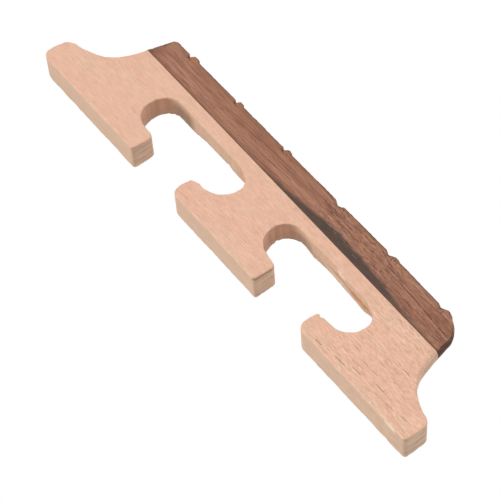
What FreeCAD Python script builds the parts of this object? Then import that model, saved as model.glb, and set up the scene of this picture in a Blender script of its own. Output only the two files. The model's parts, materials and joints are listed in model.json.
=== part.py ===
import FreeCAD, Part
import math
import os

# Wooden bridge for a six-string banjo, with three feet, two arches and a glued-on hardwood top.
# Units are millimetres. +X runs along the bridge, +Z goes from the feet up to the strings,
# and the faces that are sanded to a taper look along -Y and +Y.
# The origin is the middle of the footprint, on the plane that the feet stand on.

# Overall sizes
FOOTPRINT_LENGTH = 85.0        # between the outer ends of the two outer feet
BASE_THICKNESS = 4.75          # along Y at the feet
TOP_THICKNESS = 2.6            # along Y at the strings
TOP_HEIGHT_LOW_END = 17.4      # string edge above the feet, at the square end of the top
TOP_HEIGHT_HIGH_END = 17.9     # string edge above the feet, at the rounded end of the top

# The straight glued joint between the body and the top
JOINT_HEIGHT_LOW_END = 12.8
JOINT_HEIGHT_HIGH_END = 12.4
GLUE_THICKNESS = 0.08

# Flanks: the ends lean inward, then sweep out in one hollow curve onto the outer feet
WAIST_HALF_LENGTH = 33.9       # half length at the joint
FLANK_LEAN = 0.21              # inward travel per unit of height
FLANK_CORNER = (35.27, 6.65)   # where the leaning end would meet the sloping foot top
FLANK_SWEEP_RADIUS = 7.1
FOOT_NOSE_HEIGHT = 4.2         # top corner of each outer foot
FOOT_NOSE_SETBACK = 0.1        # the end of the foot leans in by this much at its top corner
FOOT_NOSE_RADIUS = 0.9
HEEL_RADIUS = 0.45             # bottom corner at the outer end of an outer foot

# Feet, as distances from the middle of the bridge
MIDDLE_FOOT_HALF_LENGTH = 9.68
OUTER_FOOT_INNER_END = 19.6
TOE_HEIGHT = 3.75              # top corner of a toe beside an arch's mouth
TOE_RADIUS = 0.6
TOE_HEEL_RADIUS = 0.3          # bottom corner of a toe

# Arches, as distances from the middle of the bridge
ARCH_CEILING_HEIGHT = 10.5
ARCH_INNER_END = 4.1
ARCH_INNER_FLOOR_HEIGHT = 4.6
ARCH_INNER_CEILING_RADIUS = 2.75
ARCH_INNER_FLOOR_RADIUS = 3.4
ARCH_OUTER_END = 25.1
ARCH_OUTER_FLOOR_HEIGHT = 4.15
ARCH_OUTER_RADIUS = 3.0

# Corners of the top
TOP_RADIUS_LOW_END = 0.8
TOP_RADIUS_HIGH_END = 4.2

# String slots, in two equal groups to either side of the middle
SLOTS_PER_SIDE = 3
SLOT_SPACING = 11.25           # within a group
MIDDLE_SLOT_GAP = 12.7         # between the groups
SLOT_WIDTH = 1.4               # at the string edge
SLOT_DEPTH = 0.55
SLOT_BOTTOM_RADIUS = 0.22

# How far the cutting blocks pass the solid that they trim
OVERRUN = 2.0


def point(x, z, y=0.0):
    """A point of an outline, which is drawn in the XZ plane."""
    return FreeCAD.Vector(x, y, z)


def rounded_outline(corners):
    """A closed wire through (x, z, radius) corners, with a tangent arc at each corner that has a radius."""
    arcs = []
    for index, (x, z, radius) in enumerate(corners):
        corner = point(x, z)
        before = point(*corners[index - 1][:2])
        after = point(*corners[(index + 1) % len(corners)][:2])
        to_before = (before - corner).normalize()
        to_after = (after - corner).normalize()
        half_angle = to_before.getAngle(to_after) / 2
        bisector = (to_before + to_after).normalize()
        tangent_length = radius / math.tan(half_angle)
        centre = corner + bisector * (radius / math.sin(half_angle))
        start = corner + to_before * tangent_length
        middle = centre - bisector * radius
        end = corner + to_after * tangent_length
        arcs.append((start, middle, end, radius))
    edges = []
    for index, (start, middle, end, radius) in enumerate(arcs):
        previous_end = arcs[index - 1][2]
        edges.append(Part.LineSegment(previous_end, start).toShape())
        if radius > 0:
            edges.append(Part.Arc(start, middle, end).toShape())
    return Part.Wire(edges)


def cut_through(corners):
    """A prism of the outline, long enough along Y to pass both faces of the bridge."""
    half_depth = BASE_THICKNESS / 2 + OVERRUN
    face = Part.Face(rounded_outline(corners))
    face.translate(FreeCAD.Vector(0, -half_depth, 0))
    return face.extrude(FreeCAD.Vector(0, 2 * half_depth, 0))


def along_bridge(x, low_end, high_end):
    """A height at x that runs straight from one end of the joint to the other."""
    share = (x + WAIST_HALF_LENGTH) / (2 * WAIST_HALF_LENGTH)
    return low_end + share * (high_end - low_end)


def joint_height(x):
    return along_bridge(x, JOINT_HEIGHT_LOW_END, JOINT_HEIGHT_HIGH_END)


def top_height(x):
    return along_bridge(x, TOP_HEIGHT_LOW_END, TOP_HEIGHT_HIGH_END)


def end_x(side, z):
    """The leaning end of the waist and the top, at side -1 or +1."""
    joint = joint_height(side * WAIST_HALF_LENGTH)
    return side * (WAIST_HALF_LENGTH - FLANK_LEAN * (z - joint))


def tapered_block():
    """Everything between the two sanded faces, which come together towards the strings."""
    height = max(TOP_HEIGHT_LOW_END, TOP_HEIGHT_HIGH_END)
    lean = (BASE_THICKNESS - TOP_THICKNESS) / 2 / height
    low = -OVERRUN
    high = height + OVERRUN
    half_low = BASE_THICKNESS / 2 - lean * low
    half_high = BASE_THICKNESS / 2 - lean * high
    half_length = FOOTPRINT_LENGTH / 2 + OVERRUN
    section = Part.makePolygon([
        point(-half_length, low, -half_low),
        point(-half_length, low, half_low),
        point(-half_length, high, half_high),
        point(-half_length, high, -half_high),
        point(-half_length, low, -half_low),
    ])
    return Part.Face(section).extrude(FreeCAD.Vector(2 * half_length, 0, 0))


def arch(side):
    """One arch, with its narrower mouth between two toes, at side -1 or +1."""
    below = -OVERRUN
    return cut_through([
        (side * OUTER_FOOT_INNER_END, below, 0),
        (side * OUTER_FOOT_INNER_END, TOE_HEIGHT, TOE_RADIUS),
        (side * ARCH_OUTER_END, ARCH_OUTER_FLOOR_HEIGHT, ARCH_OUTER_RADIUS),
        (side * ARCH_OUTER_END, ARCH_CEILING_HEIGHT, ARCH_OUTER_RADIUS),
        (side * ARCH_INNER_END, ARCH_CEILING_HEIGHT, ARCH_INNER_CEILING_RADIUS),
        (side * ARCH_INNER_END, ARCH_INNER_FLOOR_HEIGHT, ARCH_INNER_FLOOR_RADIUS),
        (side * MIDDLE_FOOT_HALF_LENGTH, TOE_HEIGHT, TOE_RADIUS),
        (side * MIDDLE_FOOT_HALF_LENGTH, below, 0),
    ])


def toe_heel(x, towards_foot):
    """The sliver that rounds the bottom corner of a toe, whose foot lies to one side of x."""
    reach = 2 * TOE_HEEL_RADIUS
    corner_block = cut_through([
        (x - towards_foot * reach, -reach, 0),
        (x + towards_foot * TOE_HEEL_RADIUS, -reach, 0),
        (x + towards_foot * TOE_HEEL_RADIUS, TOE_HEEL_RADIUS, 0),
        (x - towards_foot * reach, TOE_HEEL_RADIUS, 0),
    ])
    centre = point(x + towards_foot * TOE_HEEL_RADIUS, TOE_HEEL_RADIUS, -BASE_THICKNESS)
    roller = Part.makeCylinder(
        TOE_HEEL_RADIUS, 2 * BASE_THICKNESS, centre, FreeCAD.Vector(0, 1, 0))
    return corner_block.cut(roller)


def make_body():
    half_glue = GLUE_THICKNESS / 2
    half_footprint = FOOTPRINT_LENGTH / 2
    outline = []
    for side in (-1, 1):
        top = joint_height(side * WAIST_HALF_LENGTH) - half_glue
        flank = [
            (side * half_footprint, 0, HEEL_RADIUS),
            (side * (half_footprint - FOOT_NOSE_SETBACK), FOOT_NOSE_HEIGHT, FOOT_NOSE_RADIUS),
            (side * FLANK_CORNER[0], FLANK_CORNER[1], FLANK_SWEEP_RADIUS),
            (end_x(side, top), top, 0),
        ]
        outline += flank if side < 0 else reversed(flank)
    body = cut_through(outline).common(tapered_block())
    for side in (-1, 1):
        body = body.cut(arch(side))
        body = body.cut(toe_heel(side * OUTER_FOOT_INNER_END, side))
        body = body.cut(toe_heel(side * MIDDLE_FOOT_HALF_LENGTH, -side))
    return body


def make_glue():
    """The film of hardened glue, squeezed flat between the body and the top."""
    outline = []
    for side in (-1, 1):
        middle = joint_height(side * WAIST_HALF_LENGTH)
        low = middle - GLUE_THICKNESS / 2
        high = middle + GLUE_THICKNESS / 2
        film_end = [(end_x(side, low), low, 0), (end_x(side, high), high, 0)]
        outline += film_end if side < 0 else reversed(film_end)
    return cut_through(outline).common(tapered_block())


def string_slot(x):
    """A V groove across the string edge, with a rounded bottom for the string."""
    edge = top_height(x)
    half_width = SLOT_WIDTH / 2
    wall_angle = math.atan2(half_width, SLOT_DEPTH)
    lowering = SLOT_BOTTOM_RADIUS * (1 / math.sin(wall_angle) - 1)
    apex = edge - SLOT_DEPTH - lowering
    rise = OVERRUN * (half_width / SLOT_DEPTH)
    return cut_through([
        (x - half_width - rise, edge + OVERRUN, 0),
        (x, apex, SLOT_BOTTOM_RADIUS),
        (x + half_width + rise, edge + OVERRUN, 0),
    ])


def make_top():
    half_glue = GLUE_THICKNESS / 2
    outline = []
    for side, radius in ((-1, TOP_RADIUS_LOW_END), (1, TOP_RADIUS_HIGH_END)):
        bottom = joint_height(side * WAIST_HALF_LENGTH) + half_glue
        edge = top_height(side * WAIST_HALF_LENGTH)
        end = [(end_x(side, bottom), bottom, 0), (end_x(side, edge), edge, radius)]
        outline += end if side < 0 else reversed(end)
    top = cut_through(outline).common(tapered_block())
    for index in range(SLOTS_PER_SIDE):
        distance = MIDDLE_SLOT_GAP / 2 + index * SLOT_SPACING
        top = top.cut(string_slot(-distance))
        top = top.cut(string_slot(distance))
    return top


def export(shape, node):
    solid = shape.removeSplitter()
    if len(solid.Solids) != 1 or not solid.isValid():
        raise ValueError(node + " is not one valid solid")
    solid.Solids[0].exportStep("parts/" + node + ".step")
    box = solid.BoundBox
    print("%s volume %.2f mm3" % (node, solid.Volume))
    print("  x %.2f to %.2f, y %.2f to %.2f, z %.2f to %.2f"
          % (box.XMin, box.XMax, box.YMin, box.YMax, box.ZMin, box.ZMax))


os.makedirs("parts", exist_ok=True)
export(make_body(), "bridge_body")
export(make_glue(), "glue_line")
export(make_top(), "top_cap")
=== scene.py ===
import json
import math

import bpy
import numpy as np
from mathutils import Matrix, Quaternion, Vector
from mathutils.geometry import delaunay_2d_cdt


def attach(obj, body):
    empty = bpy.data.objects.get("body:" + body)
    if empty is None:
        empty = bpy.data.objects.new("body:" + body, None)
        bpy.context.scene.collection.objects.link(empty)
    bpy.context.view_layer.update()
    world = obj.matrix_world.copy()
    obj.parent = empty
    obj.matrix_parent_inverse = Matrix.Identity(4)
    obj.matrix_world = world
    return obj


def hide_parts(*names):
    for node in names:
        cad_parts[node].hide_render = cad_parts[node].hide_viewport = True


# The looks of a six-string banjo bridge: a pale wooden body with three feet and two arches,
# a film of dried glue, and a brown hardwood top with six hand-cut string slots.
# Each piece is a closed skin grown from its CAD node's own outline: two grained faces, a soft
# arris round each, and sawn walls between them. Lengths below are in millimetres, in the
# CAD frame: x along the bridge, y through its thickness (-y is the show face), z upwards.

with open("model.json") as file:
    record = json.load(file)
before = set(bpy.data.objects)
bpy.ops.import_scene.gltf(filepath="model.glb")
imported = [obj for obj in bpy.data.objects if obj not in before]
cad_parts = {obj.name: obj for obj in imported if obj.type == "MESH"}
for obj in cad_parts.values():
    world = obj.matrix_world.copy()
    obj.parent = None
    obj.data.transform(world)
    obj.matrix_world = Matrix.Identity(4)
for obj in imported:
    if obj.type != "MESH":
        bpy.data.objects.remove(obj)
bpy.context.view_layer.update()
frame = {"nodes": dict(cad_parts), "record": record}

MM = 0.001


# ------------------------ reading the CAD frame

FRONT_FACING = -0.9            # a face with a normal y below this is part of the show face
WELD = 1e-7                    # corners nearer than this, in metres, are one corner
ARCH_CEILING = 10.5            # height of both arches' ceilings in the CAD


def front_outline(node):
    """The corners of a node's show face in order round it, counter-clockwise, as (x, z) rows."""
    mesh = frame["nodes"][node].data
    index_of = {}
    welded = []
    for vertex in mesh.vertices:
        place = tuple(round(c / WELD) for c in vertex.co)
        welded.append(index_of.setdefault(place, len(index_of)))
    sides = set()
    for polygon in mesh.polygons:
        if polygon.normal.y < FRONT_FACING:
            corners = [welded[i] for i in polygon.vertices]
            sides.update(zip(corners, corners[1:] + corners[:1]))
    rim = {a: b for a, b in sides if (b, a) not in sides}
    places = [(x * WELD / MM, z * WELD / MM) for x, _, z in index_of]
    start = next(iter(sorted(rim)))
    loop = [start]
    while rim[loop[-1]] != start:
        loop.append(rim[loop[-1]])
    return np.array([places[i] for i in loop])


def half_thickness_line():
    """Half the thickness at height 0, and how much of it each millimetre of height takes off."""
    co = np.array([v.co for v in frame["nodes"]["bridge_body"].data.vertices]) / MM
    front = co[co[:, 1] < -np.median(np.abs(co[:, 1])) / 2]
    slope, start = np.polyfit(front[:, 2], -front[:, 1], 1)
    return start, -slope


FOOT_HALF_THICKNESS, TAPER = half_thickness_line()
GLUE = front_outline("glue_line")
GLUE_LINE = np.polyfit(GLUE[:, 0], GLUE[:, 1], 1)
GLUE_HALF = np.abs(GLUE[:, 1] - np.polyval(GLUE_LINE, GLUE[:, 0])).mean()
CAP_HALF_LENGTH = np.abs(GLUE[:, 0]).mean()
SLOT_X = [m["pos_m"][0] / MM for m in frame["record"]["mounts"] if "string_slot" in m["name"]]


def half_thickness(z):
    return FOOT_HALF_THICKNESS - TAPER * z


def above_joint(x, z):
    """How far a point lies above the middle of the glue film."""
    return z - np.polyval(GLUE_LINE, x)


# ------------------------ numbers for natural surfaces

LATTICE = 256


def rough(u, v, seed):
    """Smooth random relief between -1 and 1, whose bumps are about one unit of u by one of v."""
    lattice = np.random.default_rng(seed).uniform(-1, 1, (LATTICE, LATTICE))
    i = np.floor(u).astype(int)
    j = np.floor(v).astype(int)
    s = u - i
    t = v - j
    s = s * s * (3 - 2 * s)
    t = t * t * (3 - 2 * t)
    low = lattice[i % LATTICE, j % LATTICE] * (1 - s) + lattice[(i + 1) % LATTICE, j % LATTICE] * s
    high = (lattice[i % LATTICE, (j + 1) % LATTICE] * (1 - s)
            + lattice[(i + 1) % LATTICE, (j + 1) % LATTICE] * s)
    return low * (1 - t) + high * t


def step(value, low, high):
    """0 below low, 1 above high, and a smooth climb between; low may be the larger one."""
    share = np.clip((value - low) / (high - low), 0, 1)
    return share * share * (3 - 2 * share)


def bump(value, start, end, edge=0.35):
    """1 along the middle of start to end, easing to 0 over a share of it at both ends."""
    ease = (end - start) * edge
    return step(value, start, start + ease) * step(value, end, end - ease)


# ------------------------ cuts in the two faces

CUT_SPACING = 0.22             # between the points along a cut
CUT_CLEARANCE = 0.055          # that other points keep from them
DARK_DEPTH = 0.07              # a cut this deep is as dark as they get, part of that darkness being painted shade in the groove
LIP_WIDTH = 0.05               # of the painted highlight on the lip below a cut
NARROW_CUT = 0.03              # half width below which a cut needs no points along its edges


def scattered_cuts(seed, count, x_range, z_range, lengths, widths, depths):
    """Open pores, split evenly between the faces: rows of x, z, x, z, width, depth, side."""
    random = np.random.default_rng(seed)
    cuts = []
    for index in range(count):
        x = random.uniform(*x_range)
        z = random.uniform(*z_range)
        length = random.uniform(*lengths)
        rise = length * random.normal(0, 0.02)
        side = 1 if index % 2 else -1
        cuts.append((x, z, x + length, z + rise, random.uniform(*widths), random.uniform(*depths), side))
    return cuts


def cut_points(cuts):
    """Points down the middle of each cut and along both its edges, and one at each tip."""
    points = []
    for x0, z0, x1, z1, width, _, _ in cuts:
        length = math.hypot(x1 - x0, z1 - z0)
        aside_x = -(z1 - z0) / length
        aside_z = (x1 - x0) / length
        count = max(3, round(length / CUT_SPACING))
        for step_index in range(count + 1):
            share = step_index / count
            x = x0 + (x1 - x0) * share
            z = z0 + (z1 - z0) * share
            half = width / 2 * math.sin(math.pi * share) ** 0.5
            points.append((x, z))
            if half > NARROW_CUT:
                points.append((x + half * aside_x, z + half * aside_z))
                points.append((x - half * aside_x, z - half * aside_z))
    return np.array(points).reshape(-1, 2)


def cut_relief(cuts, x, y, z):
    """How deep each point lies in a cut, how dark it is there, and how pale the lip below one is: the
    darkness is partly the pore's own colour and partly painted shade in the groove, and the pale lip is a
    painted highlight.
    """
    depth = np.zeros(len(x))
    dark = np.zeros(len(x))
    lip = np.zeros(len(x))
    for x0, z0, x1, z1, width, full, side in cuts:
        length = math.hypot(x1 - x0, z1 - z0)
        along_x = (x1 - x0) / length
        along_z = (z1 - z0) / length
        share = ((x - x0) * along_x + (z - z0) * along_z) / length
        above = (z - z0) * along_x - (x - x0) * along_z
        half = width / 2 * np.sqrt(np.clip(np.sin(math.pi * np.clip(share, 0, 1)), 1e-6, 1))
        reached = (y * side > 0) * (share > 0) * (share < 1)
        here = np.clip(1 - np.abs(above) / half, 0, 1) * reached
        depth = np.maximum(depth, full * here)
        dark = np.maximum(dark, here * min(1, full / DARK_DEPTH))
        lip = np.maximum(lip, np.exp(-((above + half) / LIP_WIDTH) ** 2) * reached)
    return depth, dark, lip * (dark < 0.1)


# ------------------------ outlines

def resample(loop, spacing):
    """Evenly spaced points round the loop, with each corner of the glued joint kept exactly."""
    pinned = [i for i, (x, z) in enumerate(loop) if abs(above_joint(x, z)) < GLUE_HALF + 0.01]
    loop = np.roll(loop, -pinned[0], axis=0)
    pinned = [i - pinned[0] for i in pinned] + [len(loop)]
    closed = np.vstack((loop, loop[:1]))
    pieces = []
    for first, last in zip(pinned, pinned[1:]):
        run = closed[first:last + 1]
        travelled = np.concatenate(([0], np.cumsum(np.hypot(*np.diff(run, axis=0).T))))
        count = max(2, round(travelled[-1] / spacing))
        at = np.linspace(0, travelled[-1], count, endpoint=False)
        pieces.append(np.column_stack([np.interp(at, travelled, run[:, k]) for k in (0, 1)]))
    return np.vstack(pieces)


def joint_weight(x, z, reach):
    """0 on the glued joint, 1 from reach away, so that neighbouring pieces stay flush."""
    return step(np.abs(above_joint(x, z)) - GLUE_HALF, 0.005, reach)


def soften(loop, passes):
    """Rounds sharp corners a little, but not those of the glued joint."""
    hold = joint_weight(loop[:, 0], loop[:, 1], 0.1)[:, None]
    for _ in range(passes):
        smooth = (np.roll(loop, 1, 0) + 2 * loop + np.roll(loop, -1, 0)) / 4
        loop = loop + (smooth - loop) * hold
    return loop


def outward(loop):
    """The outward direction at each point of a counter-clockwise loop."""
    along = np.roll(loop, -1, 0) - np.roll(loop, 1, 0)
    normal = np.column_stack((along[:, 1], -along[:, 0]))
    return normal / np.hypot(*normal.T)[:, None]


def inside_ring(points, ring):
    """Which points the ring encloses."""
    after = np.roll(ring, -1, 0)
    px, pz = points.T[:, :, None]
    crosses = (ring[:, 1] > pz) != (after[:, 1] > pz)
    with np.errstate(divide="ignore", invalid="ignore"):
        cross_x = ring[:, 0] + (pz - ring[:, 1]) / (after[:, 1] - ring[:, 1]) * (after - ring)[:, 0]
    return (crosses & (px < cross_x)).sum(1) % 2 == 1


def nearest(points, others):
    """How far each point is from the nearest of the others."""
    gap = np.full(len(points), np.inf)
    for start in range(0, len(others), 200):
        part = others[start:start + 200]
        away = np.hypot(points[:, None, 0] - part[None, :, 0], points[:, None, 1] - part[None, :, 1])
        gap = np.minimum(gap, away.min(1))
    return gap


BESIDE_WALL = np.array((0.15, 0.32, 0.52))     # where the rows have extra points at both ends
OFF_THE_POINTS = 1e-7                          # keeps a row from running exactly through a ring point
RING_MARGIN = 0.45                             # inner points keep this share of its spacing from the ring


def fill_points(ring, cuts, row_gap, point_gap, margin, seed):
    """Points inside the ring: along every cut, and between them in rows along the grain."""
    random = np.random.default_rng(seed)
    after = np.roll(ring, -1, 0)
    along_cuts = cut_points(cuts)
    along_cuts = along_cuts[inside_ring(along_cuts, ring)] if cuts else along_cuts
    along_cuts = along_cuts[nearest(along_cuts, ring) > margin]
    points = []
    heights = np.arange(ring[:, 1].min() + row_gap, ring[:, 1].max(), row_gap)
    for row, height in enumerate(heights + OFF_THE_POINTS):
        crosses = (ring[:, 1] > height) != (after[:, 1] > height)
        share = (height - ring[crosses, 1]) / (after[crosses, 1] - ring[crosses, 1])
        ends = np.sort(ring[crosses, 0] + share * (after[crosses, 0] - ring[crosses, 0]))
        near = ring[np.abs(ring[:, 1] - height) < margin]
        for start, end in zip(ends[::2], ends[1::2]):
            stagger = point_gap * (0.4 + 0.5 * (row % 2))
            xs = np.arange(start + BESIDE_WALL[-1] + stagger, end - BESIDE_WALL[-1], point_gap)
            xs = xs + random.uniform(-0.2, 0.2, len(xs)) * point_gap
            if end - start > 2 * BESIDE_WALL[-1]:
                xs = np.concatenate((start + BESIDE_WALL, xs, end - BESIDE_WALL))
            line = np.column_stack((xs, np.full(len(xs), height)))
            points.append(line[nearest(line, near) > margin])
    rows = np.vstack(points)
    rows = rows[nearest(rows, along_cuts) > CUT_CLEARANCE]
    return np.vstack((rows, along_cuts))


def triangulate(ring, inner):
    """Triangles that fill the ring through the inner points, numbered ring first, then inner."""
    places = [Vector(p) for p in np.vstack((ring, inner))]
    rim = [(i, (i + 1) % len(ring)) for i in range(len(ring))]
    _, _, faces, sources, _, _ = delaunay_2d_cdt(places, rim, [], 1, 1e-9)
    return [[sources[i][0] for i in face] for face in faces]


# ------------------------ the skin of one piece

ARRIS_STEPS = 4                # strips across a rounded arris


def arris_rows(loop, normal, radius):
    """Rows round an arris, from face to wall: places, distance from the middle plane, wallness."""
    rows = []
    for turn in np.linspace(0, math.pi / 2, ARRIS_STEPS + 1):
        place = loop - normal * (radius * (1 - math.sin(turn)))[:, None]
        depth = half_thickness(place[:, 1]) - radius * (1 - math.cos(turn))
        rows.append((place, depth, math.sin(turn)))
    return rows


def grow(loop, front_arris, back_arris, cuts, wall_steps, row_gap, point_gap, seed):
    """A closed skin round the loop: a show face, a back face, and rows of wall between them.

    Gives the faces, the vertices, and what each vertex is: its outward direction in the
    outline's plane (none inside a face), and its wallness, 1 on a wall and 0 on a face."""
    normal = outward(loop)
    rows = arris_rows(loop, normal, front_arris)
    wall_front = half_thickness(loop[:, 1]) - front_arris
    wall_back = back_arris - half_thickness(loop[:, 1])
    for share in np.linspace(0, 1, wall_steps + 1)[1:-1]:
        rows.append((loop, wall_front + (wall_back - wall_front) * share, 1.0))
    for place, depth, share in reversed(arris_rows(loop, normal, back_arris)):
        rows.append((place, -depth, share))

    count = len(loop)
    margin = RING_MARGIN * np.hypot(*np.diff(loop, axis=0).T).mean()
    walls = np.vstack([np.column_stack((p[:, 0], -d, p[:, 1])) for p, d, _ in rows])
    faces = []
    for row in range(len(rows) - 1):
        for i in range(count):
            j = (i + 1) % count
            low = row * count
            faces.append((low + i, low + count + i, low + count + j, low + j))

    # The two grained faces, each filled from its own ring and its own cuts
    vertices = [walls]
    total = len(walls)
    for side, ring, first in ((-1, rows[0][0], 0), (1, rows[-1][0], (len(rows) - 1) * count)):
        own_cuts = [cut for cut in cuts if cut[-1] == side]
        inner = fill_points(ring, own_cuts, row_gap, point_gap, margin, seed + side)
        x, z = inner.T
        vertices.append(np.column_stack((x, side * half_thickness(z), z)))
        for face in triangulate(ring, inner):
            numbered = [first + i if i < count else total + i - count for i in face]
            faces.append(tuple(numbered if side < 0 else reversed(numbered)))
        total += len(inner)
    vertices = np.vstack(vertices)
    flat = np.zeros((total - len(walls), 2))
    normals = np.vstack([normal] * len(rows) + [flat])
    wallness = np.concatenate((np.repeat([share for _, _, share in rows], count), flat[:, 0]))
    return faces, vertices, normals, wallness


def make_piece(name, faces, vertices, masks, material, node):
    """The Blender object of one piece, riding on the frame in place of its CAD node."""
    mesh = bpy.data.meshes.new(name)
    mesh.from_pydata((vertices * MM).tolist(), [], faces)
    mesh.shade_smooth()
    for mask, values in masks.items():
        attribute = mesh.attributes.new(mask, "FLOAT", "POINT")
        attribute.data.foreach_set("value", np.asarray(values, np.float32))
    mesh.materials.append(material)
    piece = bpy.data.objects.new(name, mesh)
    bpy.context.scene.collection.objects.link(piece)
    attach(piece, "root")
    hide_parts(node)
    return piece


# ------------------------ what hand work did to the shape

CEILING_TILT = 0.0068          # the arches were cut with the blank slightly turned
LOW_FOOT_STRETCH = 0.16        # the low end's foot reaches this far past the CAD's,
HIGH_FOOT_SHRINK = 0.22        # and the high end's stops this far short of it
HIGH_FLANK_X = 30.0            # the high end's flank is everything past this,
HIGH_FLANK_Z = 6.0             # and above this
END_ROUNDING = 0.62            # radius of the high end's rubbed corner, across the glued joint

both_outlines = np.vstack((front_outline("bridge_body"), front_outline("top_cap")))
past_flank = (both_outlines[:, 0] > HIGH_FLANK_X) & (both_outlines[:, 1] > HIGH_FLANK_Z)
high_flank = both_outlines[past_flank]
high_flank = high_flank[np.argsort(high_flank[:, 1])]

# Local shifts of the outline: x, z, reach, and how far it moves along x and z
NUDGES = (
    (-41.2, 4.6, 0.7, 0, 0.24),        # rough nose of the low end's foot
    (-38.2, 5.7, 2.6, 0, 0.22),
    (-42.5, 2.0, 2.0, -0.2, 0),
    (-42.5, 0, 0.8, 0.18, 0.2),       # its worn heel
    (-19.7, 2.0, 1.6, 0.08, 0),
    (-9.6, 3.6, 0.6, 0.1, -0.18),       # chipped corner of the middle foot
    (-9.45, 3.4, 0.35, -0.16, 0.08),
    (-8.4, 3.9, 0.25, 0, 0.12),
    (-7.6, 3.8, 0.8, 0, -0.18),
    (-9.7, 1.9, 1.6, -0.2, 0),
    (-9.6, 0, 0.7, 0.22, 0.12),
    (-4.1, 7.5, 2.0, -0.12, 0),
    (19.6, 2.2, 1.9, -0.32, 0),        # splintered toe of the high end's foot
    (19.7, 3.65, 0.35, 0.04, 0.2),
    (20.2, 3.7, 0.42, 0, -0.34),
    (21.5, 3.75, 0.6, 0, -0.1),
    (23.0, 3.85, 0.9, 0, -0.12),
    (19.7, 0, 0.7, 0.28, 0.1),
    (41.1, 4.4, 0.5, 0, 0.14),
    (34.8, 10.2, 1.7, 0.16, 0),
)

# The arches' ceilings as cut, at the show face and at the back: x, and how far above the CAD's
CEILING_FRONT = ((-20, 0), (-8.6, 0), (-7, -0.2), (-5.8, -0.55), (-4.6, -0.35), (-3.5, 0),
                 (5, 0), (15.3, 0.05), (16.8, -0.08), (18.4, -0.28), (19.6, -0.3), (20.6, -0.18),
                 (22, -0.36), (23.2, -0.62), (24.4, -0.35), (25.5, 0))
CEILING_BACK = ((-24, -0.1), (-20, -0.16), (-18.4, -0.1), (-16.5, 0.14), (-11, 0.16), (-9.5, 0),
                (-6, 0), (6, 0.02), (7.5, 0.1), (9.6, -0.12), (12, 0.08), (14, 0.06), (18, -0.1),
                (21, -0.28), (22.5, 0))
CEILING_REACH = 1.6            # above the ceiling, where the wood stops following it

END_FRONT = 0.24               # the high end's waist stands out this far at the show face
END_CUT_BACK = 0.72            # and its back half is planed away by about this much
TOP_CROWN = 0.13               # the string edge drops this much towards the high end


def as_cut(points):
    """The small errors of a hand-made bridge, bending all three pieces alike."""
    x, y, z = points.T.copy()
    tilt = np.interp(z, (0, 4.2, ARCH_CEILING, 12.6, 18), (0, 0.45, 1, 0.2, 0))
    new_z = z - CEILING_TILT * x * tilt
    across = y / half_thickness(z)
    waist = step(x, 27, 33) * step(z, 3.6, 8.5)
    foot = step(np.abs(x), 25, 42) * step(z, 6, 3.5)
    end_shift = END_FRONT - END_CUT_BACK * step(across, -0.3, 1.3)
    new_x = x + waist * end_shift
    new_x = new_x - LOW_FOOT_STRETCH * foot * (x < 0) - HIGH_FOOT_SHRINK * foot * (x > 0)
    to_end = np.interp(z, high_flank[:, 1], high_flank[:, 0]) - x
    to_face = half_thickness(z) + y
    reach = END_ROUNDING * step(z, 6.2, 9)
    along = np.clip(1 - to_end / (reach + 1e-6), 0, 1)
    deep = np.clip(1 - to_face / (reach + 1e-6), 0, 1)
    squeeze = np.maximum(along, deep) / np.maximum(np.hypot(along, deep), 1e-6)
    rounded = (along > 0) & (deep > 0) & (x > HIGH_FLANK_X)
    new_x = new_x - np.where(rounded, reach * along * (1 - squeeze), 0)
    y = y + np.where(rounded, reach * deep * (1 - squeeze), 0)
    new_z = new_z - TOP_CROWN * step(x, 17, 30) * step(above_joint(x, z), 2.5, 4.5)
    return np.column_stack((new_x, y, new_z))


def nudged(x, z):
    """The outline's points after the local shifts."""
    new_x = x.copy()
    new_z = z.copy()
    for at_x, at_z, reach, move_x, move_z in NUDGES:
        near = np.exp(-((x - at_x) ** 2 + (z - at_z) ** 2) / reach ** 2)
        new_x += move_x * near
        new_z += move_z * near
    return new_x, new_z


def ceiling_lift(x, across, z):
    """How far an arch's ceiling, and the wood just above it, stands above its design height."""
    front = np.interp(x, *zip(*CEILING_FRONT))
    back = np.interp(x, *zip(*CEILING_BACK))
    lift = front + (back - front) * step(across, -1.0, 0.6)
    in_arch = step(np.abs(x), 3.6, 4.4) * step(np.abs(x), 25.6, 24.9)
    near_ceiling = step(z, 7.0, 9.5) * step(z, ARCH_CEILING + CEILING_REACH, ARCH_CEILING + 0.1)
    return lift * in_arch * near_ceiling


# ------------------------ materials

def put_node(tree, kind, inputs, **settings):
    """A new node with its settings, and its inputs linked or set, by name or number."""
    node = tree.nodes.new(kind)
    for key, value in settings.items():
        setattr(node, key, value)
    for key, value in inputs.items():
        if isinstance(value, bpy.types.NodeSocket):
            tree.links.new(value, node.inputs[key])
        else:
            node.inputs[key].default_value = value
    return node


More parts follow.
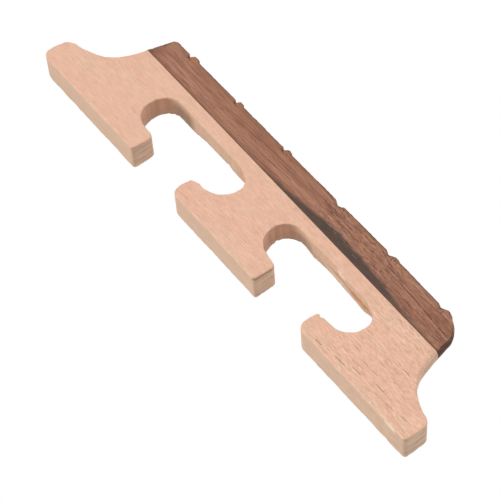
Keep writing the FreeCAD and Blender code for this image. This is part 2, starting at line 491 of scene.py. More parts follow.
class Graph:
    """Shorthand for one material's nodes. Sizes are in millimetres of the frame."""

    def __init__(self, name, specular):
        self.material = bpy.data.materials.new(name)
        self.material.use_nodes = True
        self.tree = self.material.node_tree
        self.shader = self.tree.nodes["Principled BSDF"]
        self.shader.inputs["Specular IOR Level"].default_value = specular
        coordinates = self.tree.nodes.new("ShaderNodeTexCoord")
        self.place = coordinates.outputs["Object"]
        self.facing = coordinates.outputs["Normal"]

    def put(self, kind, inputs, **settings):
        return put_node(self.tree, kind, inputs, **settings)

    def math(self, operation, a, b=0.0, c=0.0):
        return self.put("ShaderNodeMath", {0: a, 1: b, 2: c}, operation=operation).outputs[0]

    def times(self, a, b):
        return self.math("MULTIPLY", a, b)

    def stretched(self, x, y, z, offset=0.0):
        """Coordinates in which a bump of x by y by z millimetres is one unit across."""
        scale = [1 / (size * MM) for size in (x, y, z)]
        shift = (offset, offset * 0.7, offset * 1.3)
        inputs = {"Vector": self.place, "Scale": scale, "Location": shift}
        return self.put("ShaderNodeMapping", inputs).outputs[0]

    def noise(self, size, detail=2.0, roughness=0.5, distortion=0.0, offset=0.0):
        inputs = {"Vector": self.stretched(*size, offset), "Scale": 1.0, "Detail": detail,
                  "Roughness": roughness, "Distortion": distortion}
        return self.put("ShaderNodeTexNoise", inputs).outputs["Fac"]

    def ease(self, value, low, high, to_low=0.0, to_high=1.0):
        """Smooth climb of value from to_low, at low, to to_high, at high."""
        inputs = {"Value": value, "From Min": low, "From Max": high,
                  "To Min": to_low, "To Max": to_high}
        node = self.put("ShaderNodeMapRange", inputs, interpolation_type="SMOOTHSTEP")
        return node.outputs[0]

    def blend(self, share, a, b, kind="MIX"):
        """Colour a with b over it, by share."""
        node = self.put("ShaderNodeMix", {}, data_type="RGBA", blend_type=kind)
        for socket, value in zip((0, 6, 7), (share, a, b)):
            if isinstance(value, bpy.types.NodeSocket):
                self.tree.links.new(value, node.inputs[socket])
            elif socket:
                node.inputs[socket].default_value = (*value, 1.0)
            else:
                node.inputs[socket].default_value = value
        return node.outputs[2]

    def shaded(self, colour, value):
        """The colour multiplied by a grey of that value."""
        grey = self.put("ShaderNodeCombineColor", {0: value, 1: value, 2: value}).outputs[0]
        return self.blend(1.0, colour, grey, "MULTIPLY")

    def mask(self, name):
        return self.put("ShaderNodeAttribute", {}, attribute_name=name).outputs["Fac"]

    def facing_part(self, axis):
        """How squarely the surface looks along the axis: 0 x, 1 y, 2 z. It has no sign."""
        node = self.put("ShaderNodeSeparateXYZ", {0: self.facing})
        return self.math("ABSOLUTE", node.outputs[axis])

    def finish(self, colour, roughness, height, depth):
        """Links the finished colour, roughness and relief, whose full height is depth mm."""
        bump_node = self.put("ShaderNodeBump", {"Height": height, "Distance": depth * MM,
                                                "Strength": 1.0})
        self.tree.links.new(colour, self.shader.inputs["Base Color"])
        self.tree.links.new(roughness, self.shader.inputs["Roughness"])
        self.tree.links.new(bump_node.outputs[0], self.shader.inputs["Normal"])
        return self.material


def pale_wood():
    """Bare sanded beech: pinkish and yellowish bands, and fine dark flecks along the grain."""
    g = Graph("pale_beech", specular=0.25)
    end = g.ease(g.facing_part(0), 0.35, 0.9)
    under = g.ease(g.facing_part(2), 0.5, 0.95)
    worn = g.mask("worn")

    bands = g.noise((26, 2.4, 1.9), detail=3, roughness=0.55, distortion=0.3)
    colour = g.blend(g.ease(bands, 0.36, 0.64), PALE_PINK, PALE_YELLOW)
    clouds = g.noise((4.5, 1.8, 1.5), detail=3, offset=4.0)
    colour = g.blend(g.ease(clouds, 0.46, 0.64, 0, 0.45), colour, PALE_ROSE)

    mottle = g.noise((1.4, 0.6, 0.5), detail=2, roughness=0.6, offset=13.0)
    colour = g.shaded(colour, g.ease(mottle, 0.3, 0.7, 0.96, 1.03))
    fibres = g.noise((1.8, 0.15, 0.15), detail=3, roughness=0.65, offset=2.0)
    quiet = g.math("MULTIPLY_ADD", worn, 0.17, 0.10)
    tone = g.math("MULTIPLY_ADD", g.math("SUBTRACT", g.ease(fibres, 0.27, 0.73), 0.5), quiet, 1.0)
    colour = g.shaded(colour, tone)
    nap = g.noise((0.75, 0.24, 0.22), detail=2, roughness=0.7, offset=17.0)
    nap = g.times(g.math("SUBTRACT", nap, 0.5), g.math("MULTIPLY_ADD", worn, 0.45, 0.18))
    colour = g.shaded(colour, g.math("ADD", nap, 1.0))

    flecks = g.noise((1.9, 0.2, 0.15), detail=1, roughness=0.4, offset=7.0)
    flecks = g.ease(flecks, 0.655, 0.74)
    crowd = g.ease(g.noise((12, 5, 4), detail=1, offset=9.0), 0.4, 0.62, 0.12, 0.7)
    crowd = g.times(crowd, g.math("MULTIPLY_ADD", worn, 1.0, 0.4))
    flecks = g.times(flecks, crowd)
    colour = g.blend(g.times(flecks, 0.6), colour, FLECK)

    rays = g.noise((0.5, 0.13, 0.13), detail=2, roughness=0.7, offset=3.0)
    rings = g.noise((60, 0.75, 5.0), detail=2, roughness=0.6, distortion=0.4, offset=21.0)
    ends = g.math("MULTIPLY_ADD", rings, 0.6, g.times(rays, 0.4))
    planed = g.math("MULTIPLY_ADD", g.mask("sawn"), -0.85, 1.0)
    ends = g.math("MULTIPLY_ADD", g.math("SUBTRACT", ends, 0.5), planed, 0.5)
    end_colour = g.blend(g.ease(ends, 0.38, 0.62), END_DARK, END_LIGHT)
    colour = g.blend(end, colour, end_colour)
    under_colour = g.blend(g.ease(bands, 0.36, 0.64), UNDER_GREY, UNDER_YELLOW)
    under_colour = g.shaded(under_colour, tone)
    colour = g.blend(g.times(under, 0.9), colour, under_colour)
    colour = g.blend(g.times(flecks, g.times(under, 0.3)), colour, FLECK)
    colour = g.blend(g.mask("sawn"), colour, g.blend(1.0, colour, SAWN_TINT, "MULTIPLY"))

    # Arch walls: painted light and shade along the cutter ridges, and random streaks
    shades = g.math("MULTIPLY_ADD", g.mask("tone"), 0.15, 1.0)
    colour = g.shaded(colour, shades)
    # Pores, darkened partly as painted shade in their grooves; pale nicks, with the painted highlight
    # below each cut; torn fibres; and the shade colour: painted shade in the arches' corners, darker back
    # edges, and a crack
    for mask, paint in (("pore_and_groove_shade", FLECK), ("nick_and_highlight", NICK_AND_HIGHLIGHT), ("torn", TORN), ("shade", CREVICE)):
        colour = g.blend(g.mask(mask), colour, paint)

    height = g.math("SUBTRACT", g.times(fibres, 0.5), g.times(flecks, 0.6))
    height = g.math("ADD", height, g.times(rays, g.times(end, 0.6)))
    return g.finish(colour, g.ease(fibres, 0.2, 0.8, 0.62, 0.78), height, 0.03)


def brown_wood():
    """Bare sanded walnut: reddish brown with dark grain lines, open pores and orange chips."""
    g = Graph("brown_walnut", specular=0.25)
    end = g.ease(g.facing_part(0), 0.35, 0.9)

    bands = g.noise((30, 1.6, 1.3), detail=3, roughness=0.6, distortion=0.4, offset=1.0)
    colour = g.blend(g.ease(bands, 0.34, 0.66), BROWN_DEEP, BROWN_LIGHT)
    greys = g.noise((14, 2.0, 1.6), detail=2, offset=6.0)
    colour = g.blend(g.ease(greys, 0.55, 0.75, 0, 0.5), colour, BROWN_GREY)
    fibres = g.noise((2.6, 0.2, 0.19), detail=3, roughness=0.7, offset=5.0)
    colour = g.shaded(colour, g.ease(fibres, 0.27, 0.73, 0.74, 1.23))
    lines = g.noise((5, 0.2, 0.16), detail=2, roughness=0.5, offset=8.0)
    lines = g.ease(lines, 0.6, 0.72)
    colour = g.blend(g.times(lines, 0.6), colour, BROWN_LINE)
    flecks = g.noise((1.0, 0.24, 0.2), detail=2, roughness=0.65, offset=15.0)
    bright = g.times(g.ease(flecks, 0.58, 0.68), g.mask("worn"))
    colour = g.blend(g.times(bright, 0.55), colour, BROWN_PINK)
    dark = g.times(g.ease(flecks, 0.5, 0.36), g.mask("worn"))
    colour = g.blend(g.times(dark, 0.6), colour, BROWN_LINE)

    # End walls: the end grain's own dark brown, darkened further as painted shade
    colour = g.blend(g.times(end, 0.9), colour, CAP_END_GRAIN_AND_SHADE)
    smudge = g.noise((2.2, 0.5, 0.3), detail=4, roughness=0.7, offset=11.0)
    stain = g.math("ADD", g.mask("stain"), g.times(g.math("SUBTRACT", smudge, 0.5), 0.7))
    stain = g.times(g.ease(stain, 0.0, 0.85), g.ease(g.mask("stain"), 0.0, 0.25))
    soot = g.blend(g.ease(fibres, 0.3, 0.7), STAIN, STAIN_BROWN)
    colour = g.blend(g.times(stain, 0.93), colour, soot)
    # Orange chips; pale nicks, with the painted highlight below each cut; pores, darkened partly as
    # painted shade in their grooves; and the shade colour, partly painted shade
    marks = (("torn", CHIP), ("nick_and_highlight", BROWN_PINK), ("pore_and_groove_shade", BROWN_LINE), ("shade", CREVICE))
    for mask, paint in marks:
        colour = g.blend(g.mask(mask), colour, paint)

    height = g.math("SUBTRACT", g.times(fibres, 0.6), g.times(lines, 0.6))
    return g.finish(colour, g.ease(fibres, 0.2, 0.8, 0.55, 0.75), height, 0.04)


def dried_glue():
    """Hardened glue: patches of dark and amber, blackened where the top is stained."""
    g = Graph("dried_glue", specular=0.4)
    patches = g.noise((3, 1, 1), detail=2)
    colour = g.blend(patches, GLUE_DARK, GLUE_AMBER)
    colour = g.blend(g.mask("stain"), colour, STAIN)
    return g.finish(colour, g.ease(patches, 0.3, 0.7, 0.35, 0.55), patches, 0.01)


# Colours, as linear red, green and blue
PALE_PINK = (0.75, 0.447, 0.322)
PALE_YELLOW = (0.735, 0.464, 0.334)
PALE_ROSE = (0.715, 0.412, 0.292)
FLECK = (0.33, 0.15, 0.09)
END_DARK = (0.65, 0.425, 0.30)
END_LIGHT = (0.86, 0.59, 0.43)
UNDER_GREY = (0.80, 0.545, 0.40)
UNDER_YELLOW = (0.77, 0.53, 0.37)
SAWN_TINT = (0.865, 0.745, 0.70)
TORN = (0.60, 0.28, 0.105)
# the shade colour: painted shade, and dark cracks, lines and patches
CREVICE = (0.12, 0.055, 0.03)
# pale nicks and splinters, and the painted highlight on the lip below each cut
NICK_AND_HIGHLIGHT = (0.95, 0.76, 0.58)
BROWN_DEEP = (0.295, 0.130, 0.078)
BROWN_LIGHT = (0.385, 0.185, 0.117)
BROWN_GREY = (0.29, 0.165, 0.108)
BROWN_LINE = (0.10, 0.037, 0.023)
BROWN_PINK = (0.50, 0.25, 0.17)
# end walls: dark end grain with painted shade in it
CAP_END_GRAIN_AND_SHADE = (0.03, 0.019, 0.015)
CHIP = (0.45, 0.15, 0.065)
STAIN = (0.058, 0.040, 0.032)
STAIN_BROWN = (0.085, 0.058, 0.046)
GLUE_DARK = (0.10, 0.05, 0.03)
GLUE_AMBER = (0.24, 0.12, 0.06)


# ------------------------ the pale body

BODY_SPACING = 0.15            # between the outline's points
ARRIS_SMALL = 0.07             # radius of the arris, where it is crispest
ARRIS_LARGE = 0.22
RUBBED_ARRIS = 0.26            # added where hands or the head have rubbed it
CRISP_ARRIS = 0.002            # radius of an arris that is as good as sharp
CHIP_SIZE = 0.09               # of the small breaks along an arris
TOOTH_SIZE = 0.3               # of the larger breaks where the cutter left an arch
TOOTH_REACH = 0.2
SPLINTER_HEIGHT = 0.14         # of the fibres hanging from the high-end arch's ceiling
RIDGE_HEIGHT = 0.03            # marks of the cutter on an arch's walls
RIDGE_PITCH = 0.42
ARCH_CENTRE = (14.6, 7)        # distance from the middle of the bridge, and height
ARCH_REACH = 11                # from there to an arch's ends, roughly
REAR_ARRIS_DARKENING = 0.7          # how much darker the arches' edges are painted at the back

# Where the larger breaks are, as x and z
TEETH = ((4.1, 8.0), (4.6, 8.8), (5.8, 9.9), (6.5, 10.3), (-24.2, 9.4), (-23.5, 9.9), (-22.8, 10.3))

# Longer pores that show on the show face, as rows of x, z, x, z, width and depth
BODY_PORES = (
    (33.0, 7.1, 34.8, 7.15, 0.26, 0.06), (25.4, 7.25, 27.0, 7.35, 0.22, 0.05),
    (26.2, 4.2, 27.9, 4.25, 0.22, 0.06), (29.0, 3.55, 30.5, 3.6, 0.22, 0.05),
    (31.0, 3.65, 32.5, 3.65, 0.22, 0.06), (26.0, 2.8, 27.1, 2.8, 0.2, 0.05),
    (28.0, 2.45, 29.5, 2.55, 0.2, 0.05), (29.1, 1.85, 31.0, 1.95, 0.24, 0.07),
    (33.2, 2.6, 34.8, 2.65, 0.24, 0.07), (36.0, 1.75, 38.2, 1.8, 0.2, 0.06),
    (39.0, 2.1, 40.5, 2.1, 0.2, 0.05), (26.3, 1.05, 28.5, 1.15, 0.27, 0.09),
    (32.5, 1.2, 34.0, 1.2, 0.2, 0.05), (22.5, 0.65, 23.8, 0.68, 0.26, 0.09),
    (-34.0, 8.15, -31.2, 8.1, 0.16, 0.03), (-31.0, 8.05, -29.0, 8.1, 0.16, 0.03),
    (-39.0, 4.2, -37.2, 4.2, 0.16, 0.03), (-26.3, 4.2, -25.0, 4.25, 0.18, 0.04),
    (-32.0, 1.4, -30.5, 1.4, 0.18, 0.04), (-35.5, 3.7, -33.8, 3.75, 0.15, 0.03),
    (1.2, 1.4, 3.0, 1.45, 0.17, 0.035), (2.6, 2.9, 4.8, 2.95, 0.16, 0.03),
    (-3.4, 1.9, -1.5, 1.95, 0.15, 0.03), (3.2, 5.1, 5.6, 5.0, 0.15, 0.03),
)

# Marks on the arches' ceilings: kind, from x to x, from across to across (-1 show face, 1 back),
# and strength
CEILING_MARKS = (
    ("torn", 11.5, 20.5, -0.1, 0.42, 0.8),
    ("torn", 16.5, 23.2, -0.3, 0.7, 1.0),
    ("torn", -9.5, -4.0, -0.4, 0.3, 0.25),
    ("nick_and_highlight", 14.6, 17.4, -0.9, -0.25, 1.0),
    ("torn", 7.5, 12.5, 0.1, 0.95, 0.35),
    ("nick_and_highlight", 11.0, 18.5, 0.5, 0.9, 0.35),
    ("shade", -24.6, -18.2, -1.1, 1.6, 0.62),
    ("shade", 4.3, 10.5, -0.8, 1.6, 0.45),
)


def arris_radius(loop, seed, small, large, rubbed):
    """A hand-sanded arris, uneven along the loop, larger where rubbed is 1, sharp at the joint."""
    x, z = loop.T
    uneven = 0.5 + 0.5 * rough(x / 3 + 50, z / 3 + 50, seed)
    worn = rubbed * (0.65 + 0.5 * rough(x / 0.9 + 70, z / 0.9 + 70, seed + 1))
    chips = CHIP_SIZE * step(rough(x / 0.4 + 90, z / 0.4 + 90, seed + 2), 0.15, 0.6)
    for tooth_x, tooth_z in TEETH:
        away = (x - tooth_x) ** 2 + (z - tooth_z) ** 2
        chips = chips + TOOTH_SIZE * np.exp(-away / TOOTH_REACH ** 2)
    radius = small + (large - small) * uneven + RUBBED_ARRIS * worn + chips
    radius = radius * joint_weight(x, z, 0.9) + CRISP_ARRIS
    return np.minimum(radius, 0.6 * corner_radius(loop))


def corner_radius(loop):
    """The radius of an outside corner at each point of the loop, and a large number elsewhere."""
    normal = outward(loop)
    after = np.roll(normal, -1, 0)
    turn = np.arctan2(normal[:, 0] * after[:, 1] - normal[:, 1] * after[:, 0], (normal * after).sum(1))
    length = np.hypot(*(np.roll(loop, -1, 0) - loop).T)
    radius = length / np.maximum(turn, 0.02)
    return np.minimum.reduce([np.roll(radius, shift) for shift in (-1, 0, 1, 2)])


def body_arrises(loop):
    """The body's arris at the show face and at the back."""
    x, z = loop.T
    soles = step(z, 0.8, 0.1)
    ceilings = step(z, 9.4, 10.0) * (bump(x, 7.5, 22.5, 0.1) + bump(x, -20.5, -7.5, 0.1))
    flank = step(x, 30, 32) * step(z, 5.5, 7.5) * 0.8
    handled = np.maximum.reduce([soles, ceilings, flank])
    front = arris_radius(loop, 11, ARRIS_SMALL, ARRIS_LARGE, handled)
    back = arris_radius(loop, 14, ARRIS_SMALL, ARRIS_LARGE, 0.4 * soles)
    return front, back


def toe_crack(x, across, z):
    """A dark crack just behind the show face, down the high side of the middle foot."""
    down = bump(z, -0.6, 3.7, 0.2) * step(np.abs(x - 9.7), 0.6, 0.3)
    return down * bump(across, -1.02, -0.7, 0.35)


def make_body():
    loop = soften(resample(front_outline("bridge_body"), BODY_SPACING), 4)
    front_arris, back_arris = body_arrises(loop)
    cuts = [(*pore_and_groove_shade, -1) for pore_and_groove_shade in BODY_PORES]
    cuts += scattered_cuts(23, 150, (20, 41), (0.6, 12), (0.5, 1.7), (0.14, 0.2), (0.01, 0.045))
    cuts += scattered_cuts(24, 60, (-41, 20), (0.6, 12), (0.8, 2.4), (0.13, 0.18), (0.01, 0.03))
    faces, points, normals, wallness = grow(
        loop, front_arris, back_arris, cuts, wall_steps=16, row_gap=0.13, point_gap=0.46, seed=12)
    x, y, z = points.T
    across = y / half_thickness(z)
    loose = joint_weight(x, z, 0.5)
    on_face = wallness < 0.01

    # Grain on the two faces, which differ
    side = np.where(y < 0, 0, 200)
    relief = 0.010 * rough(x / 2.2 + side, z / 0.3 + side, 21)
    relief += 0.022 * rough(x / 13 + side, z / 2.2 + side, 22)
    depth, dark, lip = cut_relief(cuts, x, y, z)
    depth = y + np.sign(y) * (relief * loose - depth) * on_face

    # Walls: waviness everywhere, cutter ridges inside the arches
    push = 0.035 * rough(x / 1.6 + 40, z / 1.6 + 40, 25)
    push += 0.015 * rough(x / 0.5 + across, z / 0.5 + 2 * across, 26)
    inside = step(np.abs(x), 3.0, 4.0) * step(np.abs(x), 26.5, 25.5) * step(z, 0.3, 1.0)
    around = np.arctan2(z - ARCH_CENTRE[1], np.abs(x) - ARCH_CENTRE[0]) * ARCH_REACH
    ridge = rough(around / RIDGE_PITCH + 60, 0.5 * across + 9 + 20 * (x > 0), 27)
    steep = step(np.abs(normals[:, 0]), 0.2, 0.7)
    push += RIDGE_HEIGHT * ridge * inside * (0.4 + 0.6 * steep)
    push *= wallness * loose
    new_x, new_z = nudged(x + normals[:, 0] * push, z + normals[:, 1] * push)
    new_z = new_z + ceiling_lift(x, across, z)
    splinter = bump(x, 14.6, 17.4, 0.3) * bump(across, -0.9, -0.25, 0.35)
    splinter = splinter * step(z, 9, 10) * step(z, 11.5, 10.7)
    new_z = new_z - SPLINTER_HEIGHT * splinter * wallness

    # Colour: painted light and shade along the cutter ridges, and random streaks, on the arches' walls;
    # torn and pale marks, and painted shade, on their ceilings
    ceiling = inside * wallness * step(normals[:, 1], -0.15, -0.6) * step(z, 7.8, 8.8)
    streaks = rough(around / 0.9, across * 2.2 + 30, 28)
    in_arch = inside * wallness * step(z, 3.5, 4.3)
    # Painted light and shade: the walls are lighter on the ridges' crests and darker in their troughs
    tone = in_arch * (0.95 * ridge * steep + 0.35 * streaks)
    # Pale marks start with the painted highlight on the lip below each cut; pale nicks join them below
    marks = {"torn": [0 * x], "shade": [0 * x], "nick_and_highlight": [0.22 * lip * on_face]}
    for mask, x0, x1, across0, across1, strength in CEILING_MARKS:
        broken = step(rough(x / 0.8, across / 0.25 + 11, 29), -1.2, -0.1)
        mark = bump(x, x0, x1, 0.35) * bump(across, across0, across1, 0.4) * ceiling
        if mask != "shade":
            mark = mark * broken
        marks[mask].append(strength * mark)
    # The arches' back edges, painted darker
    rear_arris = inside * step(across, 0.78, 0.92) * (wallness > 0.2)
    marks["shade"].append(REAR_ARRIS_DARKENING * rear_arris * step(z, 8.5, 9.5))
    sole_arris = bump(wallness, 0.05, 0.98, 0.3) * (across < 0) * step(z, 1.2, 0.4)
    broken = step(rough(x / 0.7 + 5, z / 0.7 + 5, 30), 0.1, 0.6)
    marks["nick_and_highlight"].append(0.15 * sole_arris * broken)
    sole_nick = bump(x, 38.0, 40.8, 0.2) * bump(across, -1.02, -0.58, 0.35) * step(z, 0.5, 0.2)
    marks["nick_and_highlight"].append(0.9 * sole_nick * wallness)
    marks["shade"].append(0.45 * toe_crack(x, across, z) * wallness)

    points = as_cut(np.column_stack((new_x, depth, new_z)))
    worn = np.maximum(step(x, 17, 27), 0.3 * bump(x, -14, 22, 0.2))
    # Pores: their own dark colour, with painted shade in the grooves
    masks = {"pore_and_groove_shade": 0.95 * dark * on_face, "tone": tone, "worn": worn,
             "sawn": in_arch * (0.2 + 0.8 * steep)}
    masks.update({mask: np.maximum.reduce(layers) for mask, layers in marks.items()})
    return make_piece("bridge_body_wood", faces, points, masks, pale_wood(),
                      "bridge_body")


# ------------------------ the glue film

GLUE_SPACING = 0.3             # between the film's points


def make_glue():
    loop = resample(front_outline("glue_line"), GLUE_SPACING)
    arris = np.full(len(loop), CRISP_ARRIS)
    faces, points, _, _ = grow(
        loop, arris, arris, [], wall_steps=12, row_gap=0.03, point_gap=0.3, seed=31)
    darkest = bump(points[:, 0], -16, 33, 0.15)
    return make_piece("glue_line_film", faces, as_cut(points), {"stain": darkest}, dried_glue(),
                      "glue_line")


# ------------------------ the brown top

CAP_SPACING = 0.11
SLOT_REACH = 0.85              # half the length of string edge that a CAD notch takes up
BESIDE_SLOT = 0.6              # the sound edge just past that, which the filling joins up
EDGE_ABOVE_FEET = 17.4         # the string edge at the low end,
EDGE_CLIMB = 0.006             # and about how much it climbs per millimetre of x
EDGE_ABOVE_JOINT = 4.6         # the same edge above the glued joint,
EDGE_WIDENING = 0.013          # and how fast the two draw apart

# Each slot as sawn: where it starts and ends beside the string's line, how far along its width
# the lowest point is, its depth, and the burr beside it: its start, end and height
SLOTS = (
    (-0.6, 0.02, 0.55, 0.5, -0.05, 1.65, 0.38),
    (-0.5, 0.05, 0.55, 0.48, 0, 1.35, 0.32),
    (-0.38, 0.25, 0.5, 0.45, 0.2, 1.5, 0.27),
    (-1.05, 0.85, 0.6, 0.58, 0, 0, 0),
    (-1.0, 0.4, 0.6, 0.42, 0.4, 1.85, 0.15),
    (-1.05, 0.15, 0.72, 0.32, 0.25, 2.05, 0.22),
)

# The grain lines of the show face, as rows of x, z, x, z, width and depth
CAP_LINES = (
    (-13.0, 15.35, -9.0, 15.55, 0.2, 0.06), (-8.0, 14.3, -4.0, 14.45, 0.22, 0.08),
    (-9.5, 13.1, -3.0, 13.4, 0.2, 0.06), (-7.0, 15.7, -2.0, 15.9, 0.16, 0.03),
    (-19.0, 14.6, -15.0, 14.7, 0.16, 0.03), (22.0, 15.6, 24.5, 15.48, 0.22, 0.08),
    (24.2, 15.5, 27.4, 15.3, 0.24, 0.1), (27.0, 15.32, 30.2, 15.1, 0.24, 0.1),
    (30.0, 15.1, 33.0, 14.92, 0.24, 0.11), (22.3, 14.5, 24.2, 14.3, 0.2, 0.08),
    (24.0, 14.3, 26.2, 14.2, 0.2, 0.07), (31.0, 14.3, 33.2, 14.2, 0.18, 0.08),
    (31.3, 13.92, 33.4, 13.88, 0.18, 0.08), (31.1, 13.55, 33.3, 13.55, 0.18, 0.07),
    (31.4, 15.5, 32.8, 15.42, 0.17, 0.06), (-32.5, 14.9, -29.4, 14.95, 0.24, 0.05),
    (-29.8, 14.95, -26.0, 15.0, 0.2, 0.04),
    (5.0, 16.75, 5.7, 16.5, 0.2, 0.09), (5.3, 16.2, 6.6, 16.1, 0.24, 0.09),
    (6.3, 16.5, 7.0, 16.3, 0.2, 0.07), (7.3, 17.2, 8.0, 17.1, 0.16, 0.06),
    (16.2, 17.2, 17.5, 16.85, 0.2, 0.1), (17.4, 16.88, 19.5, 16.4, 0.2, 0.09),
    (18.15, 17.65, 18.3, 17.05, 0.18, 0.1), (18.75, 17.6, 18.7, 17.05, 0.16, 0.09),
    (19.15, 17.55, 19.25, 16.95, 0.2, 0.1), (29.2, 17.45, 29.3, 16.75, 0.24, 0.1),
)

# The black streak beside the glue: x, its height above the joint, and how black it is
STREAK_X = (-7, -5, 0, 3, 5, 7, 9, 11, 13, 15, 18, 20, 22, 24, 27, 30, 33)
STREAK_HEIGHT = (0.1, 0.35, 0.6, 0.9, 1.05, 1.3, 1.6, 1.65, 1.45, 1.4, 1.25, 1.05, 0.95, 0.85, 0.7,
                 0.5, 0.3)
STREAK_DARK = (0, 0.3, 0.62, 0.8, 0.9, 1, 1, 1, 1, 1, 1, 0.95, 0.75, 0.6, 0.42, 0.3, 0.2)


def carve_slots(loop):
    """The CAD's even notches filled, and the slots cut as they really are."""
    x, z = loop.T.copy()
    edge = above_joint(x, z) > 3
    for slot_x, (start, end, apex, depth, *_) in zip(SLOT_X, SLOTS):
        near = edge & (np.abs(x - slot_x) < SLOT_REACH)
        left = edge & (x < slot_x - SLOT_REACH) & (x > slot_x - SLOT_REACH - BESIDE_SLOT)
        right = edge & (x > slot_x + SLOT_REACH) & (x < slot_x + SLOT_REACH + BESIDE_SLOT)
        ends = (x[left].mean(), x[right].mean()), (z[left].mean(), z[right].mean())
        z[near] = np.interp(x[near], *ends)
        share = (x - slot_x - start) / (end - start)
        v_shape = np.clip(np.minimum(share / apex, (1 - share) / (1 - apex)), 0, 1)
        z = z - np.where(edge, depth * v_shape, 0)
    return np.column_stack((x, z))


def saw_marks_and_shade():
    """Dark scratches under the first three notches and beside their burrs, on the show face, partly
    painted shade at each notch and a painted shadow line along each burr.
    """
    marks = []
    for slot_x, (start, end, apex, depth, burr_start, burr_end, _) in list(zip(SLOT_X, SLOTS))[:3]:
        low_x = slot_x + start + apex * (end - start)
        low_z = EDGE_ABOVE_FEET + EDGE_CLIMB * (slot_x + CAP_HALF_LENGTH) - depth
        marks.append((low_x - 0.3, low_z + 0.1, low_x + 0.35, low_z - 0.2, 0.34, 0.12, -1))
        marks.append((low_x + 0.1, low_z - 0.18, low_x + 0.85, low_z - 0.36, 0.2, 0.09, -1))
        burr_x = slot_x + burr_start + 0.3
        marks.append((burr_x, low_z + 0.42, slot_x + burr_end, low_z + 0.4, 0.14, 0.06, -1))
    return marks


def cap_arrises(loop):
    """The cap's arris at the show face and at the back."""
    x, z = loop.T
    end = step(x, 30.5, 32.5) * step(above_joint(x, z), 0.2, 1.2)
    front = arris_radius(loop, 41, small=0.06, large=0.17, rubbed=end)
    back = arris_radius(loop, 44, small=0.08, large=0.2, rubbed=np.zeros(len(loop)))
    return front, back


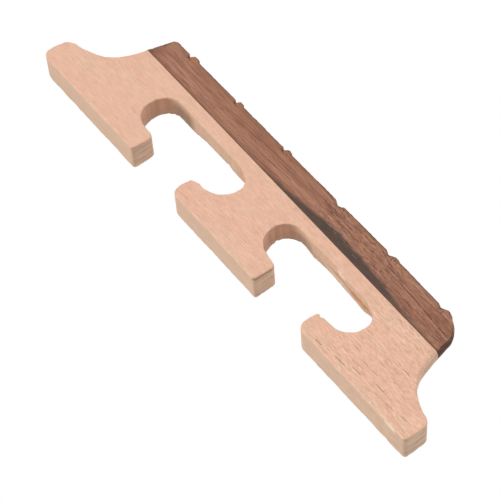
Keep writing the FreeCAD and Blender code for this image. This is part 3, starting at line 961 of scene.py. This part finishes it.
def make_cap():
    loop = resample(front_outline("top_cap"), CAP_SPACING)
    loop = soften(carve_slots(loop), 3)
    front_arris, back_arris = cap_arrises(loop)
    cuts = [(*line, -1) for line in CAP_LINES] + saw_marks_and_shade()
    cuts += scattered_cuts(53, 56, (4, 23), (14.0, 17.2), (0.5, 1.5), (0.15, 0.23), (0.03, 0.07))
    cuts += scattered_cuts(54, 70, (-32, 32), (13.2, 17.0), (0.8, 3.0), (0.13, 0.19), (0.02, 0.05))
    faces, points, normals, wallness = grow(
        loop, front_arris, back_arris, cuts, wall_steps=14, row_gap=0.11, point_gap=0.4, seed=42)
    x, y, z = points.T
    across = y / half_thickness(z)
    loose = joint_weight(x, z, 0.5)
    high = above_joint(x, z)
    edge_height = EDGE_ABOVE_JOINT + EDGE_WIDENING * (x + CAP_HALF_LENGTH)
    on_face = wallness < 0.01
    in_front = y < 0

    side = np.where(in_front, 0, 300)
    relief = 0.014 * rough(x / 2.4 + side, z / 0.25 + side, 51)
    relief += 0.02 * rough(x / 10 + side, z / 1.4 + side, 52)
    depth, dark, lip = cut_relief(cuts, x, y, z)
    depth = y + np.sign(y) * (relief * loose - depth) * on_face

    push = 0.03 * rough(x / 1.3 + 40, z / 1.3 + 40, 55)
    push += 0.02 * rough(x / 0.4 + across, z / 0.4 + 2 * across, 56)
    push *= wallness * loose
    new_x = x + normals[:, 0] * push
    new_z = z + normals[:, 1] * push

    torn = np.zeros(len(x))
    notches = np.zeros(len(x))
    for slot_x, (start, end, apex, _, burr_start, burr_end, burr) in zip(SLOT_X, SLOTS):
        if burr:
            along = bump(x, slot_x + burr_start, slot_x + burr_end, 0.25)
            along = along * (0.9 + 0.1 * rough(x / 0.4, x / 3, 58))
            top = step(high, edge_height - 0.7, edge_height - 0.1)
            new_z = new_z + burr * along * top * step(across, 0.1, -0.6)
            chip = bump(x, slot_x + burr_start - 0.3, slot_x + burr_end + 0.1, 0.4)
            chip *= bump(high, edge_height - 1.05, edge_height - 0.2, 0.35)
            chip *= step(rough(x / 0.35, z / 0.15, 57), -0.1, 0.4) * in_front
            torn = np.maximum(torn, 0.7 * chip * (burr > 0.25))
        middle = slot_x + start + apex * (end - start)
        # Each slot's notch painted dark: painted shade in the slot
        notch = step(np.abs(x - middle), (end - start) * 0.45, 0.1)
        notches = np.maximum(notches, notch * step(high, edge_height - 0.8, edge_height - 0.5))

    # Painted shade in the slots; a broken dark line along the string edge and a dark line beside the
    # joint; dark patches at the low end; and the high end's wall darker, partly painted shade
    broken = step(rough(x / 1.7 + 8, z / 0.9 + 8, 59), -0.75, 0.35)
    patchy = step(rough(x / 0.8, z / 0.7 + 3, 60), -0.5, 0.4)
    shade_and_dark_marks = [
        0.9 * notches,
        0.62 * step(high, edge_height - 0.3, edge_height - 0.1) * broken,
        0.7 * step(high, 0.26, 0.1) * (0.4 + 0.6 * broken),
        0.8 * step(x, -32.6, -33.2) * patchy,
        0.38 * step(x, -30.8, -33.0) * step(high, 2.4, 1.2),
    ]
    # The high end's wall darker still: end grain, and painted shade
    high_end = 0.75 * step(x, 32.4, 33.6) * step(wallness, 0.35, 0.9)
    shade = np.maximum(np.maximum.reduce(shade_and_dark_marks) * in_front, high_end)

    points = as_cut(np.column_stack((new_x, depth, new_z)))
    rise = np.interp(x, STREAK_X, STREAK_HEIGHT) + 0.12 * rough(x / 0.7, x / 5, 61)
    stain = np.interp(x, STREAK_X, STREAK_DARK, left=0, right=0)
    stain *= 0.6 * step(high, rise + 0.85, 0.8 * rise) + 0.5 * step(high, 1.25 * rise, 0.4 * rise)
    stain *= in_front
    worn = np.maximum(bump(x, 3, 24, 0.15), 0.6 * step(x, 20, 26)) * (0.4 + 0.6 * in_front)
    # Pores: their own dark colour, with painted shade in the grooves; pale lips: painted highlight
    masks = {"pore_and_groove_shade": dark * on_face, "torn": torn, "shade": shade, "stain": stain,
             "nick_and_highlight": 0.3 * lip * on_face, "worn": worn}
    return make_piece("top_cap_wood", faces, points, masks, brown_wood(), "top_cap")


# ------------------------ camera, light and floor

CAMERA_PLACE = (153.78, -246.90, -92.88)
CAMERA_AIM = (2.19, 2.96, 4.63)
CAMERA_ROLL = 57.574           # degrees
LENS = 157.55
SENSOR_WIDTH = 36
AMBIENT = 0.55                 # strength of the light from all round
ROOM_COLOUR = (1, 0.995, 0.985, 1)


def make_camera():
    data = bpy.data.cameras.new("camera")
    data.lens = LENS
    data.sensor_width = SENSOR_WIDTH
    data.clip_start = 0.01
    data.clip_end = 10
    camera = bpy.data.objects.new("camera", data)
    place = Vector(CAMERA_PLACE) * MM
    aim = Vector(CAMERA_AIM) * MM
    upright = (aim - place).to_track_quat("-Z", "Y")
    turned = upright @ Quaternion((0, 0, 1), math.radians(CAMERA_ROLL))
    camera.matrix_world = Matrix.Translation(place) @ turned.to_matrix().to_4x4()
    bpy.context.scene.collection.objects.link(camera)
    bpy.context.scene.camera = camera


def make_light(name, source, irradiance, spread):
    """A large soft light in the direction of source, adding that share to a white face turned to it."""
    data = bpy.data.lights.new(name, "SUN")
    data.energy = irradiance * math.pi
    data.angle = math.radians(spread)
    light = bpy.data.objects.new(name, data)
    light.rotation_mode = "QUATERNION"
    light.rotation_quaternion = Vector(source).to_track_quat("Z", "Y")
    bpy.context.scene.collection.objects.link(light)


def make_world():
    """Even studio light, with a white backdrop where the camera looks past the object."""
    world = bpy.data.worlds.new("studio")
    world.use_nodes = True
    tree = world.node_tree
    tree.nodes.clear()
    room = put_node(tree, "ShaderNodeBackground", {"Color": ROOM_COLOUR, "Strength": AMBIENT})
    backdrop = put_node(tree, "ShaderNodeBackground", {"Color": (1, 1, 1, 1), "Strength": 1.0})
    path = put_node(tree, "ShaderNodeLightPath", {})
    shares = {0: path.outputs["Is Camera Ray"], 1: room.outputs[0], 2: backdrop.outputs[0]}
    either = put_node(tree, "ShaderNodeMixShader", shares)
    put_node(tree, "ShaderNodeOutputWorld", {"Surface": either.outputs[0]})
    bpy.context.scene.world = world


FLOOR_RADIUS = 400.0
FLOOR_FADE = 120.0             # the floor starts to melt into the backdrop this far out
FLOOR_COLOUR = (0.93, 0.93, 0.93, 1)
FLOOR_CORNERS = 96
FLOOR_GAP = 0.05               # the floor lies this far below the feet


def make_floor():
    """A pale floor under the feet, melting into the white backdrop.

    The object's main view is from a little below the feet, so the floor is clear from underneath."""
    material = bpy.data.materials.new("pale_floor")
    material.use_nodes = True
    tree = material.node_tree
    tree.nodes.clear()
    place = put_node(tree, "ShaderNodeTexCoord", {})
    away = put_node(tree, "ShaderNodeVectorMath", {0: place.outputs["Object"]}, operation="LENGTH")
    fade_range = {"From Min": FLOOR_FADE * MM, "From Max": FLOOR_RADIUS * 0.95 * MM}
    fade = put_node(tree, "ShaderNodeMapRange", {"Value": away.outputs["Value"], **fade_range},
                    interpolation_type="SMOOTHSTEP")
    below = put_node(tree, "ShaderNodeNewGeometry", {}).outputs["Backfacing"]
    unseen = put_node(tree, "ShaderNodeMath", {0: fade.outputs[0], 1: below}, operation="MAXIMUM")
    paint = put_node(tree, "ShaderNodeBsdfDiffuse", {"Color": FLOOR_COLOUR})
    clear = put_node(tree, "ShaderNodeBsdfTransparent", {})
    shares = {0: unseen.outputs[0], 1: paint.outputs[0], 2: clear.outputs[0]}
    mix = put_node(tree, "ShaderNodeMixShader", shares)
    put_node(tree, "ShaderNodeOutputMaterial", {"Surface": mix.outputs[0]})

    mesh = bpy.data.meshes.new("floor")
    turns = [2 * math.pi * i / FLOOR_CORNERS for i in range(FLOOR_CORNERS)]
    rim = [(FLOOR_RADIUS * MM * math.cos(t), FLOOR_RADIUS * MM * math.sin(t), 0) for t in turns]
    mesh.from_pydata(rim, [], [tuple(range(FLOOR_CORNERS))])
    mesh.materials.append(material)
    floor = bpy.data.objects.new("floor", mesh)
    bpy.context.scene.collection.objects.link(floor)
    floor.location.z = -FLOOR_GAP * MM
    for ray in ("shadow", "diffuse", "glossy", "transmission"):
        setattr(floor, "visible_" + ray, False)


make_camera()
make_world()
make_light("key", (-0.45, -0.75, -0.48), 0.60, 50)
make_light("overhead", (0.2, -0.2, 1.0), 0.35, 60)
make_light("back_fill", (-0.3, 1.0, 0.3), 0.25, 60)
make_floor()
make_body()
make_glue()
make_cap()
bpy.context.scene.view_settings.view_transform = "Standard"
